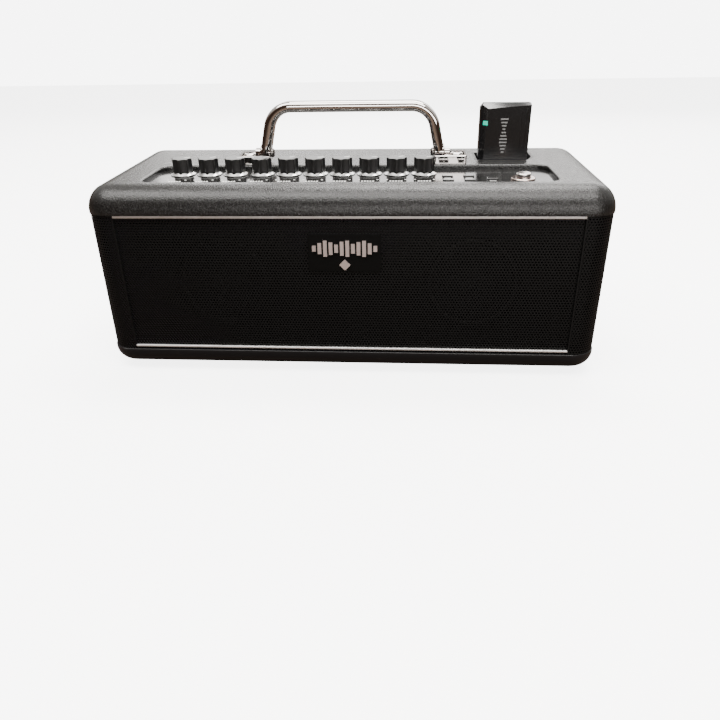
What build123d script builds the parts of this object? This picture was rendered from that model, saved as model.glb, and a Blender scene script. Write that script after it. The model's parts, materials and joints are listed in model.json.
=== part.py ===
from build123d import *
import math
import os

# A compact desktop guitar amplifier in the shape of a small amp head.
# Origin at the centre of its footprint on the table, +X to its right, +Y to its back, +Z up.

# ---- body, all in millimetres ----
WIDTH = 355.0
DEPTH = 144.0
REAR_HEIGHT = 140.6
DECK_TILT = 2.65
CORNER = 18.0
EDGE = 17.2
WALL = 2.6
FRONT = -DEPTH / 2
BACK = DEPTH / 2
FOOT_HEIGHT = 4.7
BASE_TOP = 17.6
BASE_EDGE = 11.0
LIP_ROUND = 0.5
COVER_LOW = 116.0
SIDE_SEAM = 44.0
REAR_FACE = BACK - 2.0

# ---- grille and its trim ----
GRILLE_THICK = 1.2
GRILLE_HALF = 157.0
GRILLE_FACE = FRONT + 2.2
CREASE_FACE = FRONT + 0.6
SIDE_INSET = 0.6
STRIP_TOP = (COVER_LOW - 1.8, COVER_LOW)
STRIP_BOTTOM = (BASE_TOP + 1.8, BASE_TOP + 3.3)
STRIP_THICK = 1.9
BADGE_Z = (78.0, 103.6)
BADGE_HALF = 24.5

# ---- pocket of the control panel ----
POCKET_HALF = 141.0
POCKET_FRONT = -53.7
POCKET_REAR = -4.5
POCKET_CORNER = 9.0
POCKET_DEPTH = 3.2
PANEL_THICK = 2.5
RIM_ROUND = 1.6
LEDGE = 3.0

# ---- rotary controls ----
KNOB_NAMES = ("amp_type", "gain", "volume", "bass", "middle", "treble", "boost", "effect", "reverb", "master")
KNOB_FIRST_X = -121.1
KNOB_PITCH = 19.34
KNOB_ROW = -18.5
CAP_RADIUS = 7.2
CAP_TOP = 11.7
FLUTES = 8
STEM_RADIUS = 3.0
RUNNING_FIT = 0.06
FLUTE_DEPTH = 0.9
FLUTE_RADIUS = 6.0
SKIRT_REACH = 0.5
COLLAR_RADIUS = 9.1
COLLAR_HEIGHT = 0.6
RING_RADIUS = (8.3, 5.2)
RING_SLOPE = 0.7
CAP_GAP = 0.4
OVERLAP = 0.01
SEAT_BORE = 4.0
POT_SIZE = (13.0, 14.0, 7.5)

# ---- push buttons ----
BUTTON_PLACES = ((69.1, -27.3), (83.8, -27.3), (69.1, -39.2), (83.8, -39.2), (99.2, -35.3))
BUTTON_SIZE = (7.2, 4.6)
BUTTON_LIFT = 1.2
BUTTON_GAP = 0.3
BUTTON_TRAVEL = 0.6
POWER_PLACE = (119.8, -35.2)
POWER_RADIUS = 5.0
POWER_LIFT = 4.4
POWER_RING_RADIUS = 8.2

# ---- carrying handle ----
HANDLE_Y = 7.2
PIVOT_Z = 144.4
PIVOT_RADIUS = 2.2
EYE_X = (60.7, 67.9)
EYE_RADIUS = 6.0
BAR_Z = 176.4
BAR_CORNER_X = 57.4
BAR_BEND = 17.0
BAR_THICK = 7.4
BAR_DEPTH = 12.8
BRACKET_X = (60.5, 84.2)
BRACKET_Y = (-1.6, 18.6)
BRACKET_HEIGHT = 5.8
NOTCH_END_X = 68.5
EAR_END_X = 71.8
EAR_RADIUS = 3.5
RECESS_X = (72.0, 82.8)
RECESS_Y = (1.6, 15.4)
RECESS_DEPTH = 2.2
HANDLE_SCREW_PLACE = (77.4, 8.5)
HANDLE_SCREW_RADIUS = 5.0
PIN_HEAD = 3.3

# ---- wireless transmitter and its dock ----
SENDER_X = (94.0, 129.8)
SENDER_Y = (13.0, 25.4)
SENDER_Z = (129.6, 176.6)
LAMP_Z = (161.8, 164.8)
PLUG_AXIS = (111.6, 19.2)
PLUG_RADIUS = 3.175
PLUG_BORE = 3.25
PLUG_LENGTH = 30.5
DOCK_BARREL = 4.9
WELL_OUTLINE = ((93.0, 12.2), (130.5, 12.2), (134.4, 22.0), (134.4, 38.0), (93.0, 38.0))
WELL_FLOOR = 128.8
WELL_WALL = 1.8

# ---- speakers ----
SPEAKER_X = (-88.0, 88.0)
SPEAKER_Z = 66.0
SPEAKER_FRAME = 39.0
SPEAKER_HOLE = 33.5
SPEAKER_SCREW = 1.3
BASKET_MOUTH = 33.0
SCREW_CIRCLE = 36.8
BAFFLE_Y = (-63.0, -58.0)
CABINET_BACK = 0.0
CABINET_HALF = 166.0
CABINET_Z = (19.5, 112.0)

# ---- back panel ----
JACK_Z = 78.0
GUITAR_JACK_X = 132.0
MINI_JACK_X = (104.0, 82.0)
USB_X = 60.0
POWER_INLET_X = 38.0
GUITAR_BORE = 3.25
MINI_BORE = 1.8
INLET_BORE = 2.8
JACK_LENGTH = 30.0
MINI_LENGTH = 14.0
GUITAR_BUSH = 4.7
MINI_BUSH = 3.0
BUSH_PROUD = 1.9
NUT_THICK = 1.6
DOOR_X = (-118.0, -10.0)
DOOR_Z = (22.6, 60.0)
DOOR_THICK = 2.2
DOOR_BARREL = 2.0
DOOR_PIN = 0.9
DOOR_PIN_Y = REAR_FACE - DOOR_BARREL
CELL_RADIUS = 7.25
CELL_LENGTH = 50.5


def deck_height(y):
    """Height of the sloping top surface at depth y."""
    return REAR_HEIGHT - (BACK - y) * math.tan(math.radians(DECK_TILT))


SLOPE = math.radians(DECK_TILT)
DECK = Plane(origin=(0, 0, deck_height(0)), x_dir=(1, 0, 0), z_dir=(0, -math.sin(SLOPE), math.cos(SLOPE)))
PANEL_TOP = -POCKET_DEPTH
PANEL_BOTTOM = PANEL_TOP - PANEL_THICK

pieces = {}


def keep(name, *solids):
    """Records the solids that make up one named piece."""
    pieces[name] = list(solids)


def block(x, y, z):
    """A box between the pairs of limits x, y and z."""
    size = (x[1] - x[0], y[1] - y[0], z[1] - z[0])
    return Pos((x[0] + x[1]) / 2, (y[0] + y[1]) / 2, (z[0] + z[1]) / 2) * Box(*size)


def round_block(x, y, z, radius, axis=Axis.Z):
    """A box whose edges along one axis are rounded."""
    solid = block(x, y, z)
    return fillet(solid.edges().filter_by(axis), radius)


def post(x, y, z, radius):
    """An upright cylinder between two heights."""
    return Pos(x, y, (z[0] + z[1]) / 2) * Cylinder(radius, z[1] - z[0])


def rod_across(x, y, z, radius):
    """A cylinder along X between two x values."""
    return Pos((x[0] + x[1]) / 2, y, z) * Rot(0, 90, 0) * Cylinder(radius, x[1] - x[0])


def rod_back(x, y, z, radius):
    """A cylinder along Y between two y values."""
    return Pos(x, (y[0] + y[1]) / 2, z) * Rot(90, 0, 0) * Cylinder(radius, y[1] - y[0])


def on_deck(solid):
    """Places a solid drawn with the deck as its ground plane."""
    return DECK.location * solid


def hull(inset, low):
    """The body's outer form moved inward, from height low up to the sloping deck."""
    outline = RectangleRounded(WIDTH - 2 * inset, DEPTH - 2 * inset, CORNER - inset)
    solid = extrude(Pos(0, 0, low) * outline, REAR_HEIGHT + EDGE - low)
    solid = split(solid, bisect_by=DECK.offset(-inset), keep=Keep.BOTTOM)
    return fillet(solid.faces().sort_by(Axis.Z)[-1].edges(), EDGE - inset)


def pocket(grow, low, high):
    """The pocket's outline, grown on all sides, between two heights over the deck."""
    width = 2 * (POCKET_HALF + grow)
    depth = POCKET_REAR - POCKET_FRONT + 2 * grow
    middle = Pos(0, (POCKET_FRONT + POCKET_REAR) / 2, low)
    return on_deck(extrude(middle * RectangleRounded(width, depth, POCKET_CORNER + grow), high - low))


def well(grow, low, high):
    """The dock's outline, grown on all sides, between two heights."""
    face = make_face(Polyline(*WELL_OUTLINE, close=True))
    face = offset(face, grow, kind=Kind.INTERSECTION) if grow else face
    return extrude(Pos(0, 0, low) * face, high - low)


def screw(length, shank, head, head_height):
    """A pan-head screw with a cross recess, its head's underside at the ground plane."""
    solid = post(0, 0, (-length, 0), shank) + post(0, 0, (0, head_height), head)
    solid = fillet(solid.edges().sort_by(Axis.Z)[-1], head_height * 0.7)
    for turn in (0, 90):
        solid -= Pos(0, 0, head_height) * Rot(0, 0, turn) * Box(head * 1.1, head * 0.22, head_height)
    return solid


# ---------------------------------------------------------------- outer shells
def make_top_cover():
    cover = hull(0, COVER_LOW) - hull(WALL, COVER_LOW - 1)
    cover += pocket(WALL, PANEL_BOTTOM - 1.4, -1.2)
    cover -= pocket(0, PANEL_BOTTOM, 20)
    cover -= pocket(-LEDGE, -20, 20)
    rim = [e for e in cover.edges() if is_rim(e.center())]
    cover = fillet(rim, RIM_ROUND)
    cover -= well(WELL_WALL, 100, 160)
    for side in (-1, 1):
        cover -= on_deck(post(side * HANDLE_SCREW_PLACE[0], HANDLE_SCREW_PLACE[1], (-10, 10), 2.2))
    return cover


def is_rim(point):
    """True for a point on the pocket's upper edge."""
    local = DECK.to_local_coords(point)
    inside = abs(local.X) < POCKET_HALF + 0.5 and POCKET_FRONT - 0.5 < local.Y < POCKET_REAR + 0.5
    return inside and abs(local.Z) < 0.05


def make_base_cover():
    outline = RectangleRounded(WIDTH, DEPTH, CORNER)
    base = extrude(Pos(0, 0, FOOT_HEIGHT) * outline, BASE_TOP - FOOT_HEIGHT)
    base = fillet(base.faces().sort_by(Axis.Z)[0].edges(), BASE_EDGE)
    base = fillet(base.faces().sort_by(Axis.Z)[-1].edges(), LIP_ROUND)
    inner = RectangleRounded(WIDTH - 2 * BASE_EDGE, DEPTH - 2 * BASE_EDGE, CORNER - BASE_EDGE)
    base -= extrude(Pos(0, 0, FOOT_HEIGHT + WALL) * inner, BASE_TOP)
    for x, y in base_screw_places():
        base -= post(x, y, (0, BASE_TOP), 1.7)
        base -= post(x, y, (0, FOOT_HEIGHT + 0.9), 3.6)
    return base


def base_screw_places():
    return [(side * 120.0, y) for side in (-1, 1) for y in (-40.0, 40.0)]


def wrap(depth, thick, y, z):
    """A vertical wall that follows the body's outline, kept between two depths and two heights."""
    width = WIDTH - 2 * SIDE_INSET
    radius = CORNER - SIDE_INSET
    outer = RectangleRounded(width, depth, radius)
    inner = RectangleRounded(width - 2 * thick, depth - 2 * thick, radius - thick)
    wall = extrude(Pos(0, 0, z[0]) * (outer - inner), z[1] - z[0])
    return wall & block((-WIDTH, WIDTH), y, z)


def make_grille():
    z = (BASE_TOP, COVER_LOW)
    sides = wrap(-2 * CREASE_FACE, GRILLE_THICK, (FRONT, SIDE_SEAM), z)
    sides -= block((-GRILLE_HALF, GRILLE_HALF), (FRONT - 1, 0), z)
    step = (GRILLE_HALF - GRILLE_THICK, GRILLE_HALF)
    depth = (CREASE_FACE, GRILLE_FACE + GRILLE_THICK)
    front = block((-GRILLE_HALF, GRILLE_HALF), (GRILLE_FACE, GRILLE_FACE + GRILLE_THICK), z)
    steps = [block((side * step[side < 0], side * step[side > 0]), depth, z) for side in (-1, 1)]
    return sides + front + steps[0] + steps[1]


def make_rear_cover():
    z = (BASE_TOP, COVER_LOW)
    through = (REAR_FACE - 6, REAR_FACE + 1)
    rear = wrap(2 * REAR_FACE, WALL, (SIDE_SEAM, BACK), z)
    rear -= block((DOOR_X[0] - 0.6, DOOR_X[1] + 0.6), through, (DOOR_Z[0] - 2.3, DOOR_Z[1] + 0.6))
    for x in (DOOR_X[0] - 2.8, DOOR_X[1] + 2.8):
        rear += block((x - 2.2, x + 2.2), (REAR_FACE - 5, REAR_FACE - 0.1), (DOOR_Z[0] - 3, DOOR_Z[0] + 3))
    rear -= rod_across((DOOR_X[0] - 4, DOOR_X[1] + 4), DOOR_PIN_Y, DOOR_Z[0], DOOR_PIN)
    rear -= rod_back(GUITAR_JACK_X, through, JACK_Z, 4.8)
    for x in MINI_JACK_X:
        rear -= rod_back(x, through, JACK_Z, 3.1)
    rear -= rod_back(POWER_INLET_X, through, JACK_Z, 4.6)
    rear -= block((USB_X - 4.2, USB_X + 4.2), through, (JACK_Z - 1.9, JACK_Z + 1.9))
    for x, z_screw in rear_screw_places():
        rear -= rod_back(x, through, z_screw, 1.7)
    return rear


def rear_screw_places():
    return [(side * 147.0, z) for side in (-1, 1) for z in (28.0, 105.0)]


def make_case_screws():
    tapping = screw(9.0, 1.5, 3.0, 1.6)
    base = [Pos(x, y, FOOT_HEIGHT + 0.9) * Rot(180, 0, 0) * tapping for x, y in base_screw_places()]
    rear = [Pos(x, REAR_FACE, z) * Rot(-90, 0, 0) * tapping for x, z in rear_screw_places()]
    return base + rear


def make_trim_strips():
    depth = (GRILLE_FACE - STRIP_THICK, GRILLE_FACE)
    half = GRILLE_HALF - GRILLE_THICK - 0.1
    strips = [block((-half, half), depth, z) for z in (STRIP_TOP, STRIP_BOTTOM)]
    return [fillet(strip.edges().filter_by(Axis.X), 0.4) for strip in strips]


def make_badge():
    """A dark plaque with a row of raised bars of stepped heights and a diamond below them."""
    face = GRILLE_FACE - 1.2
    plaque = round_block((-BADGE_HALF, BADGE_HALF), (face, GRILLE_FACE), BADGE_Z, 1.0, Axis.Y)
    heights = (4.0, 7.5, 11.0, 8.5, 5.5, 9.5, 11.0, 6.5, 9.0, 11.0, 7.5, 4.0)
    bars = []
    for number, height in enumerate(heights):
        x = (number - (len(heights) - 1) / 2) * 3.75
        z = BADGE_Z[0] + 16.2
        bars.append(block((x - 1.25, x + 1.25), (face - 1.0, face), (z - height / 2, z + height / 2)))
    diamond = Pos(0, face - 0.5, BADGE_Z[0] + 4.9) * Rot(0, 45, 0) * Box(5.4, 1.0, 5.4)
    return plaque, bars + [diamond]


def make_feet():
    feet = []
    for side in (-1, 1):
        for y in (-46.0, 46.0):
            foot = post(side * 148.0, y, (0, FOOT_HEIGHT), 8.0)
            feet.append(fillet(foot.edges().sort_by(Axis.Z)[0], 1.2))
    return feet


# ---------------------------------------------------------------- control panel
def knob_places():
    return [(name, KNOB_FIRST_X + number * KNOB_PITCH) for number, name in enumerate(KNOB_NAMES)]


def make_control_panel():
    panel = pocket(-0.05, PANEL_BOTTOM, PANEL_TOP)
    for _, x in knob_places():
        panel -= on_deck(post(x, KNOB_ROW, (-10, 0), SEAT_BORE))
    width, depth = (size / 2 + BUTTON_GAP for size in BUTTON_SIZE)
    for x, y in BUTTON_PLACES:
        panel -= on_deck(block((x - width, x + width), (y - depth, y + depth), (-10, 0)))
    panel -= on_deck(post(*POWER_PLACE, (-10, 0), POWER_RADIUS + BUTTON_GAP))
    return panel


def ring_height(radius):
    """Height of the bright ring's sloping side over the panel, at a distance from the knob's axis."""
    return COLLAR_HEIGHT + (RING_RADIUS[0] - radius) * RING_SLOPE


def cone(low_radius, high_radius, lift):
    """A cone with the slope of the bright ring, between two radii, raised by lift."""
    ends = [(low_radius, ring_height(low_radius)), (high_radius, ring_height(high_radius))]
    return loft([Pos(0, 0, PANEL_TOP + height + lift) * Circle(radius) for radius, height in ends])


def make_knob(x):
    """A fluted cap, hollowed below to clear the ring, moulded in one piece with its stem."""
    top = PANEL_TOP + CAP_TOP
    skirt = RING_RADIUS[0] + SKIRT_REACH
    skirt_top = PANEL_TOP + ring_height(skirt) + CAP_GAP + OVERLAP
    cap = post(0, 0, (PANEL_TOP + COLLAR_HEIGHT, top), CAP_RADIUS)
    cap = fillet(cap.edges().sort_by(Axis.Z)[-1], 0.8)
    for number in range(FLUTES):
        angle = 360 / FLUTES * (number + 0.5)
        distance = CAP_RADIUS + FLUTE_RADIUS - FLUTE_DEPTH
        cap -= Rot(0, 0, angle) * post(distance, 0, (PANEL_TOP, top + 1), FLUTE_RADIUS)
    cap -= cone(skirt, RING_RADIUS[1], CAP_GAP) + post(0, 0, (PANEL_TOP - 1, skirt_top), skirt)
    stem = post(0, 0, (PANEL_BOTTOM - 7.0, PANEL_TOP + ring_height(RING_RADIUS[1]) + 1), STEM_RADIUS)
    return on_deck(Pos(x, KNOB_ROW, 0) * (cap + stem))


def make_knob_seats():
    """Under each knob a low black collar, and on it a bright ring with a sloping side."""
    collar = post(0, 0, (PANEL_TOP, PANEL_TOP + COLLAR_HEIGHT), COLLAR_RADIUS)
    collar = fillet(collar.edges().sort_by(Axis.Z)[-1], 0.3) - post(0, 0, (PANEL_TOP - 1, 0), SEAT_BORE)
    ring = cone(*RING_RADIUS, 0) - post(0, 0, (PANEL_TOP - 1, 1), SEAT_BORE)
    collars = [on_deck(Pos(x, KNOB_ROW, 0) * collar) for _, x in knob_places()]
    rings = [on_deck(Pos(x, KNOB_ROW, 0) * ring) for _, x in knob_places()]
    return collars, rings


def make_potentiometers():
    """Rotary controls between the panel and its board, each bored for a knob's stem."""
    pots = []
    width, depth, height = (POT_SIZE[0] / 2, POT_SIZE[1] / 2, POT_SIZE[2])
    top = PANEL_BOTTOM - 1.2
    for _, x in knob_places():
        body = block((x - width, x + width), (KNOB_ROW - depth, KNOB_ROW + depth), (top - height, top))
        bush = post(x, KNOB_ROW, (top, PANEL_BOTTOM), 4.6)
        bore = post(x, KNOB_ROW, (PANEL_BOTTOM - 7.1, 0), STEM_RADIUS + RUNNING_FIT)
        pots.append(on_deck(body + bush - bore))
    return pots


def make_button(x, y):
    """A rectangular key with a flange under the panel that keeps it in."""
    width, depth = BUTTON_SIZE[0] / 2, BUTTON_SIZE[1] / 2
    key = block((x - width, x + width), (y - depth, y + depth), (PANEL_BOTTOM - 2.5, PANEL_TOP + BUTTON_LIFT))
    key = fillet(key.faces().sort_by(Axis.Z)[-1].edges(), 0.4)
    across, along = (x - width - 1, x + width + 1), (y - depth - 1, y + depth + 1)
    flange = block(across, along, (PANEL_BOTTOM - 2.0, PANEL_BOTTOM - 1.0))
    return on_deck(key + flange)


def make_power_button():
    x, y = POWER_PLACE
    key = post(x, y, (PANEL_BOTTOM - 2.5, PANEL_TOP + POWER_LIFT), POWER_RADIUS)
    key = fillet(key.edges().sort_by(Axis.Z)[-1], 0.9)
    return on_deck(key + post(x, y, (PANEL_BOTTOM - 2.0, PANEL_BOTTOM - 1.0), POWER_RADIUS + 1.2))


def make_power_ring():
    x, y = POWER_PLACE
    ring = post(x, y, (PANEL_TOP, PANEL_TOP + 1.4), POWER_RING_RADIUS)
    ring = fillet(ring.edges().sort_by(Axis.Z)[-1], 0.9)
    return on_deck(ring - post(x, y, (-10, 0), POWER_RADIUS + BUTTON_GAP))


def switch_top():
    """Height of the switches' tops, just below the keys when they are pressed."""
    return PANEL_BOTTOM - 2.5 - BUTTON_TRAVEL - 0.3


def make_switches():
    z = (board_top(), switch_top())
    places = [(x, y, 3.0) for x, y in BUTTON_PLACES] + [(*POWER_PLACE, 4.5)]
    return [on_deck(block((x - half, x + half), (y - half, y + half), z)) for x, y, half in places]


def board_top():
    return PANEL_BOTTOM - 1.2 - POT_SIZE[2]


def make_control_board():
    return on_deck(block((-134, 134), (POCKET_FRONT + 8, POCKET_REAR - 1), (board_top() - 1.6, board_top())))


# ---------------------------------------------------------------- handle
def make_handle():
    y, z = HANDLE_Y, PIVOT_Z
    eye_x = (EYE_X[0] + EYE_X[1]) / 2
    path = [(side * x, y, height) for side, x, height in
            ((-1, eye_x, z + 1), (-1, BAR_CORNER_X, BAR_Z), (1, BAR_CORNER_X, BAR_Z), (1, eye_x, z + 1))]
    line = FilletPolyline(*path, radius=BAR_BEND)
    start = Plane(origin=line @ 0, z_dir=line % 0, x_dir=(0, 1, 0))
    section = start * RectangleRounded(BAR_DEPTH, BAR_THICK, BAR_THICK * 0.46)
    bar = sweep(section, path=line)
    for side in (-1, 1):
        ends = sorted((side * EYE_X[0], side * EYE_X[1]))
        eye = fillet(rod_across(ends, y, z, EYE_RADIUS).edges().filter_by(GeomType.CIRCLE), 0.8)
        bar += eye
    for side in (-1, 1):
        ends = sorted((side * (EYE_X[0] - 5), side * (EYE_X[1] + 5)))
        bar -= rod_across(ends, y, z, PIVOT_RADIUS + RUNNING_FIT)
        bar -= rod_across(sorted((side * (EYE_X[0] - 5), side * EYE_X[0])), y, z, PIN_HEAD + 0.5)
    return bar


def make_bracket(side):
    """A cast block with an open notch for the handle's eye, an ear for its pin and a recess for its screw."""
    x = sorted((side * BRACKET_X[0], side * BRACKET_X[1]))
    solid = on_deck(round_block(x, BRACKET_Y, (0, BRACKET_HEIGHT), 1.6))
    solid = fillet(solid.faces().sort_by(Axis.Z)[-1].edges(), 0.8)
    recess = sorted((side * RECESS_X[0], side * RECESS_X[1]))
    solid -= on_deck(round_block(recess, RECESS_Y, (BRACKET_HEIGHT - RECESS_DEPTH, 20), 1.2))
    ear_x = sorted((side * NOTCH_END_X, side * EAR_END_X))
    ear = block(ear_x, (HANDLE_Y - EAR_RADIUS, HANDLE_Y + EAR_RADIUS), (PIVOT_Z - 4, PIVOT_Z))
    solid += ear + rod_across(ear_x, HANDLE_Y, PIVOT_Z, EAR_RADIUS)
    notch = sorted((side * (BRACKET_X[0] - 1), side * NOTCH_END_X))
    solid -= block(notch, (HANDLE_Y - EYE_RADIUS - 0.8, BRACKET_Y[1] + 3), (PIVOT_Z - 20, PIVOT_Z + 20))
    solid -= rod_across(sorted((side * 50, side * EAR_END_X)), HANDLE_Y, PIVOT_Z, PIVOT_RADIUS)
    return solid - on_deck(post(side * HANDLE_SCREW_PLACE[0], HANDLE_SCREW_PLACE[1], (-1, 20), 2.2))


def make_pivot_pin(side):
    shank = rod_across(sorted((side * (EYE_X[0] - 0.3), side * EAR_END_X)), HANDLE_Y, PIVOT_Z, PIVOT_RADIUS)
    head = rod_across(sorted((side * (EYE_X[0] - 2.6), side * (EYE_X[0] - 0.3))), HANDLE_Y, PIVOT_Z, PIN_HEAD)
    tip = head.edges().filter_by(GeomType.CIRCLE).sort_by(Axis.X)[0 if side > 0 else -1]
    return shank + fillet(tip, 1.8)


def make_handle_screws():
    x, y = HANDLE_SCREW_PLACE
    big = screw(14.0, 2.1, HANDLE_SCREW_RADIUS, 3.0)
    return [on_deck(Pos(side * x, y, BRACKET_HEIGHT - RECESS_DEPTH) * big) for side in (-1, 1)]


# ---------------------------------------------------------------- transmitter and dock
def make_sender():
    """A slim upright case with a bevelled left edge and a bevel along its top that widens to the left."""
    case = block(SENDER_X, SENDER_Y, SENDER_Z)
    left, right = SENDER_X
    front = SENDER_Y[0]
    low, high = SENDER_Z
    wedges = []
    for z, reach, width in ((low - 1, 3.8, 3.2), (high + 1, 6.0, 5.2)):
        corners = ((left, front + reach), (left + width, front), (left - 3, front - 3))
        wedges.append(Plane.XY.offset(z) * make_face(Polyline(*corners, close=True)))
    case -= loft(wedges)
    bevels = []
    for x, drop, reach in ((left - 1, 4.0, 6.5), (right + 1, 1.2, 4.0)):
        slope = drop / reach
        low_corner = (front - 2, high - drop - 2 * slope)
        corners = (low_corner, (front + reach + 1, high + slope), (front - 2, high + 3))
        bevels.append(Plane.YZ.offset(x) * make_face(Polyline(*corners, close=True)))
    case -= loft(bevels)
    corner = ((left - 1, high - 4.0), (left + 3.0, high + 1), (left - 1, high + 1))
    behind = Plane.XZ.offset(-SENDER_Y[1] - 1)
    case -= extrude(behind * make_face(Polyline(*corner, close=True)), SENDER_Y[1] - front + 3)
    return case


def lamp_block(grow):
    x = (SENDER_X[0] + 1.2 - grow, SENDER_X[0] + 5.2 + grow)
    return block(x, (SENDER_Y[0] - 1, SENDER_Y[0] + 3 + grow), (LAMP_Z[0] - grow, LAMP_Z[1] + grow))


def make_dock_well():
    cup = well(WELL_WALL, WELL_FLOOR - 2.2, 150) - well(0, WELL_FLOOR, 160)
    cup = split(cup, bisect_by=DECK, keep=Keep.BOTTOM)
    return cup - post(*PLUG_AXIS, (90, 150), DOCK_BARREL)


def make_dock_jack():
    low = SENDER_Z[0] - PLUG_LENGTH - 2
    barrel = post(*PLUG_AXIS, (low - 1.5, WELL_FLOOR), DOCK_BARREL)
    barrel += post(*PLUG_AXIS, (low - 1.5, WELL_FLOOR - 2.3), 7.0)
    return barrel - post(*PLUG_AXIS, (low, 150), PLUG_BORE)


def make_plug():
    low = SENDER_Z[0] - PLUG_LENGTH
    plug = post(*PLUG_AXIS, (low, SENDER_Z[0]), PLUG_RADIUS)
    plug = chamfer(plug.edges().sort_by(Axis.Z)[0], 1.4)
    waist = Pos(*PLUG_AXIS, low + 4.8) * Torus(PLUG_RADIUS + 0.35, 0.9)
    return plug - waist


# ---------------------------------------------------------------- speakers
def make_baffle():
    width = CABINET_HALF - 3.2
    board = block((-width, width), BAFFLE_Y, (CABINET_Z[0] + 3.2, CABINET_Z[1] - 3.2))
    for x in SPEAKER_X:
        board -= rod_back(x, (BAFFLE_Y[0] - 1, BAFFLE_Y[1] + 1), SPEAKER_Z, SPEAKER_HOLE)
    for x, z in speaker_screw_places():
        board -= rod_back(x, (BAFFLE_Y[1] - 4, BAFFLE_Y[1] + 1), z, SPEAKER_SCREW + 0.05)
    return board


def make_cabinet():
    """The sealed chamber behind the speakers, open to the front."""
    half = CABINET_HALF
    box = round_block((-half, half), (BAFFLE_Y[0], CABINET_BACK), CABINET_Z, 6.0, Axis.X)
    inner = half - 3.0
    box -= block((-inner, inner), (BAFFLE_Y[0] - 1, CABINET_BACK - 3), (CABINET_Z[0] + 3, CABINET_Z[1] - 3))
    return box


def make_speaker_parts():
    frames, cones, magnets, gaskets = [], [], [], []
    face = BAFFLE_Y[1]
    for x in SPEAKER_X:
        flange = rod_back(x, (face, face + 2), SPEAKER_Z, SPEAKER_FRAME)
        flange -= rod_back(x, (face - 1, face + 3), SPEAKER_Z, BASKET_MOUTH)
        basket = loft([Circle(BASKET_MOUTH + 1.5), Pos(0, 0, 20) * Circle(20)])
        basket -= loft([Circle(BASKET_MOUTH), Pos(0, 0, 18.5) * Circle(18.5)])
        frame = flange + Pos(x, face + 2, SPEAKER_Z) * Rot(-90, 0, 0) * basket
        for x_hole, z_hole in speaker_screw_places():
            frame -= rod_back(x_hole, (face - 1, face + 9), z_hole, SPEAKER_SCREW + 0.3)
        frames.append(frame)
        magnets.append(rod_back(x, (face + 22, face + 36), SPEAKER_Z, 28.0))
        outside = Rot(-90, 0, 0) * loft([Circle(27.0), Pos(0, 0, 14) * Circle(9)])
        inside = Pos(0, -0.8, 0) * Rot(-90, 0, 0) * loft([Circle(27.0), Pos(0, 0, 13.4) * Circle(9)])
        dome = Pos(0, 12.2, 0) * Rot(-90, 0, 0) * Cylinder(9, 1.6)
        cones.append(Pos(x, face + 1, SPEAKER_Z) * (outside - inside + dome))
        ring = Pos(x, face + 0.7, SPEAKER_Z) * Rot(90, 0, 0) * Torus(30.0, 2.6)
        gaskets.append(ring & rod_back(x, (face - 3, face + 0.6), SPEAKER_Z, 40))
    return frames, cones, magnets, gaskets


def speaker_screw_places():
    """Four screws round each speaker."""
    return [(x + SCREW_CIRCLE * math.cos(angle), SPEAKER_Z + SCREW_CIRCLE * math.sin(angle))
            for x in SPEAKER_X for angle in (math.radians(45 + 90 * number) for number in range(4))]


def make_speaker_screws():
    fixing = screw(5.0, SPEAKER_SCREW, 1.9, 1.4)
    return [Pos(x, BAFFLE_Y[1] + 2, z) * Rot(-90, 0, 0) * fixing for x, z in speaker_screw_places()]


# ---------------------------------------------------------------- back: jacks, boards, battery
def make_jack(x, bore, body, bush, length):
    """A socket with a threaded bush through the back cover and its body behind it."""
    mouth = REAR_FACE + BUSH_PROUD
    solid = rod_back(x, (REAR_FACE - 4.0, mouth), JACK_Z, bush)
    depth = (mouth - length - 2, REAR_FACE - 3.6)
    solid += block((x - body, x + body), depth, (JACK_Z - body, JACK_Z + body))
    return solid - rod_back(x, (mouth - length, BACK + 1), JACK_Z, bore)


def make_jack_nuts():
    nuts = []
    sizes = [(GUITAR_JACK_X, GUITAR_BUSH, 7.2)] + [(x, MINI_BUSH, 4.6) for x in MINI_JACK_X]
    for x, inner, outer in sizes:
        ring = extrude(RegularPolygon(outer, 6) - Circle(inner), NUT_THICK)
        nuts.append(Pos(x, REAR_FACE, JACK_Z) * Rot(-90, 0, 0) * ring)
    return nuts


def make_usb():
    mouth = REAR_FACE - 0.2
    shell = block((USB_X - 4.1, USB_X + 4.1), (mouth - 8, mouth), (JACK_Z - 1.8, JACK_Z + 1.8))
    shell -= block((USB_X - 3.6, USB_X + 3.6), (mouth - 7.2, BACK), (JACK_Z - 1.3, JACK_Z + 1.3))
    return shell + block((USB_X - 2.4, USB_X + 2.4), (mouth - 7.2, mouth - 1.2), (JACK_Z - 0.4, JACK_Z + 0.4))


def make_inlet():
    """The direct-current inlet, with its contact pin in the middle of the bore."""
    mouth = REAR_FACE + 0.3
    body = rod_back(POWER_INLET_X, (REAR_FACE - 4, mouth), JACK_Z, 4.5)
    depth = (mouth - 13, REAR_FACE - 3.6)
    body += block((POWER_INLET_X - 5, POWER_INLET_X + 5), depth, (JACK_Z - 5.5, JACK_Z + 5.5))
    body -= rod_back(POWER_INLET_X, (mouth - 10, BACK), JACK_Z, INLET_BORE)
    return body + rod_back(POWER_INLET_X, (mouth - 10.5, mouth - 1.2), JACK_Z, 0.95)


def make_main_board():
    return block((20, 150), (BACK - 40, BACK - 38.4), (34, 100))


def cell_places():
    """Middle of each battery cell: two in line along X, four across."""
    start = DOOR_X[0] + 2.2 + CELL_LENGTH / 2
    return [(start + (CELL_LENGTH + 1.0) * column, BACK - 16.2 - 16.0 * row, 32.6 + 16.0 * layer)
            for column in (0, 1) for row in (0, 1) for layer in (0, 1)]


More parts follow.
